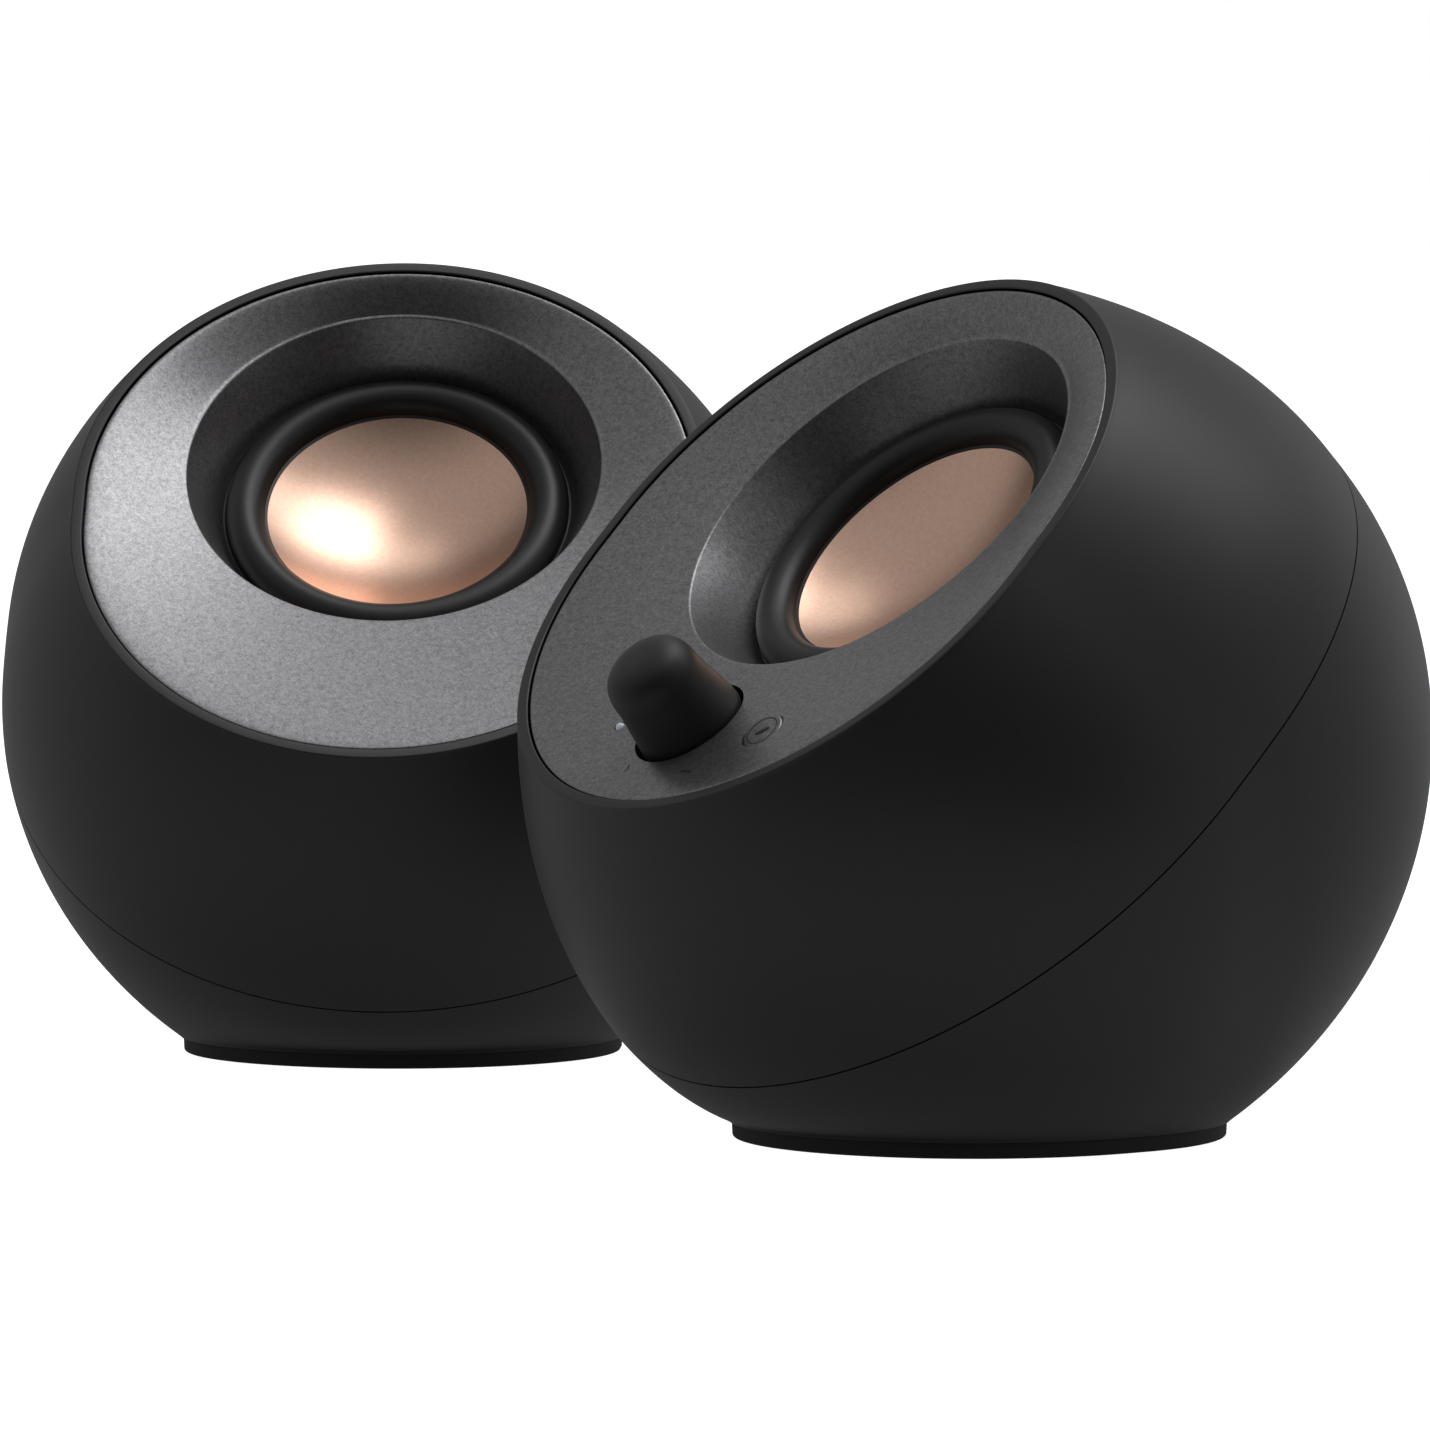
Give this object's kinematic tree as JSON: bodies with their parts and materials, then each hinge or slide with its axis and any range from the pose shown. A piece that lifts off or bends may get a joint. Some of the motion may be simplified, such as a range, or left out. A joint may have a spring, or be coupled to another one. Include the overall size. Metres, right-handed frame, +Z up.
{
  "type": "desktop speakers",
  "caption": "Round matte-black desktop speakers with upward-tilted faces, concave copper cones, a domed volume knob and rubber feet.",
  "frame": {"origin": "centre of the right speaker's foot, on the surface it stands on", "axes": "+Z up; the right speaker faces -Y with +X to its own left as it looks out, which is a viewer's right; the left speaker stands towards -X, turned 49.5 degrees towards the right one"},
  "size_m": [0.277, 0.1423, 0.1173],
  "materials": {
    "shell_plastic": "fine matte, moulded",
    "plate_finish": "fine sand texture, satin",
    "foot_rubber": "matte",
    "foam_black": "closed-cell foam",
    "basket_steel": "black paint",
    "roll_rubber": "satin",
    "copper_cone": "rose-copper anodised, satin",
    "coil_copper": "enamelled winding",
    "spider_cloth": "resin-stiffened cloth",
    "plated_steel": "zinc plated",
    "ferrite": "sintered ferrite",
    "screw_steel": "blackened",
    "black_plastic": "satin",
    "knob_rubber": "soft-touch matte",
    "switch_case": "moulded",
    "board_green": "solder mask",
    "button_plastic": "satin",
    "led_clear": "clear light pipe",
    "jack_plastic": "moulded",
    "gland_rubber": "moulded"
  },
  "bodies": {
    "cabinets": {"right_front_shell": "shell_plastic", "right_rear_shell": "shell_plastic", "right_face_plate": "plate_finish", "right_foot_pad": "foot_rubber", "right_driver_gasket": "foam_black", "right_driver_basket": "basket_steel", "right_driver_surround": "roll_rubber", "right_spider": "spider_cloth", "right_top_plate": "plated_steel", "right_magnet": "ferrite", "right_yoke": "plated_steel", "right_driver_screws": "screw_steel", "right_radiator_frame": "black_plastic", "right_radiator_surround": "roll_rubber", "right_radiator_screws": "screw_steel", "right_shell_screws": "screw_steel", "pot_body": "switch_case", "control_board": "board_green", "source_switch": "switch_case", "led_pipe": "led_clear", "main_board": "board_green", "aux_jack": "jack_plastic", "link_jack": "jack_plastic", "usb_gland": "gland_rubber", "board_screws": "screw_steel", "left_front_shell": "shell_plastic", "left_rear_shell": "shell_plastic", "left_face_plate": "plate_finish", "left_foot_pad": "foot_rubber", "left_driver_gasket": "foam_black", "left_driver_basket": "basket_steel", "left_driver_surround": "roll_rubber", "left_spider": "spider_cloth", "left_top_plate": "plated_steel", "left_magnet": "ferrite", "left_yoke": "plated_steel", "left_driver_screws": "screw_steel", "left_radiator_frame": "black_plastic", "left_radiator_surround": "roll_rubber", "left_radiator_screws": "screw_steel", "left_shell_screws": "screw_steel", "link_gland": "gland_rubber"},
    "right_cone": {"right_driver_cone": "copper_cone", "right_voice_coil": "coil_copper"},
    "left_cone": {"left_driver_cone": "copper_cone", "left_voice_coil": "coil_copper"},
    "right_radiator": {"right_radiator_plate": "black_plastic"},
    "left_radiator": {"left_radiator_plate": "black_plastic"},
    "knob": {"volume_knob": "knob_rubber", "pot_shaft": "plated_steel"},
    "button": {"source_button": "button_plastic"}
  },
  "joints": [
    {"name": "volume_turn", "type": "hinge", "parent": "cabinets", "child": "knob", "pos_m": [-0.0003, -0.05176, 0.05995], "axis": [0, -0.7046, 0.7096], "range_deg": [-150, 150]},
    {"name": "source_press", "type": "slide", "parent": "cabinets", "child": "button", "axis": [0, 0.7046, -0.7096], "range_m": [0, 0.0005], "stiffness_N_per_m": 900, "springref_m": -0.0002},
    {"name": "right_cone_travel", "type": "slide", "parent": "cabinets", "child": "right_cone", "axis": [0, -0.7046, 0.7096], "range_m": [-0.0015, 0.0015], "stiffness_N_per_m": 1200, "deforming": ["right_driver_surround", "right_spider"]},
    {"name": "left_cone_travel", "type": "slide", "parent": "cabinets", "child": "left_cone", "axis": [0.5358, -0.4576, 0.7096], "range_m": [-0.0015, 0.0015], "stiffness_N_per_m": 1200, "deforming": ["left_driver_surround", "left_spider"]},
    {"name": "right_radiator_travel", "type": "slide", "parent": "cabinets", "child": "right_radiator", "axis": [0, 1, 0], "range_m": [-0.0015, 0.0015], "stiffness_N_per_m": 700, "deforming": ["right_radiator_surround"]},
    {"name": "left_radiator_travel", "type": "slide", "parent": "cabinets", "child": "left_radiator", "axis": [-0.7604, 0.6494, 0], "range_m": [-0.0015, 0.0015], "stiffness_N_per_m": 700, "deforming": ["left_radiator_surround"]}
  ]
}
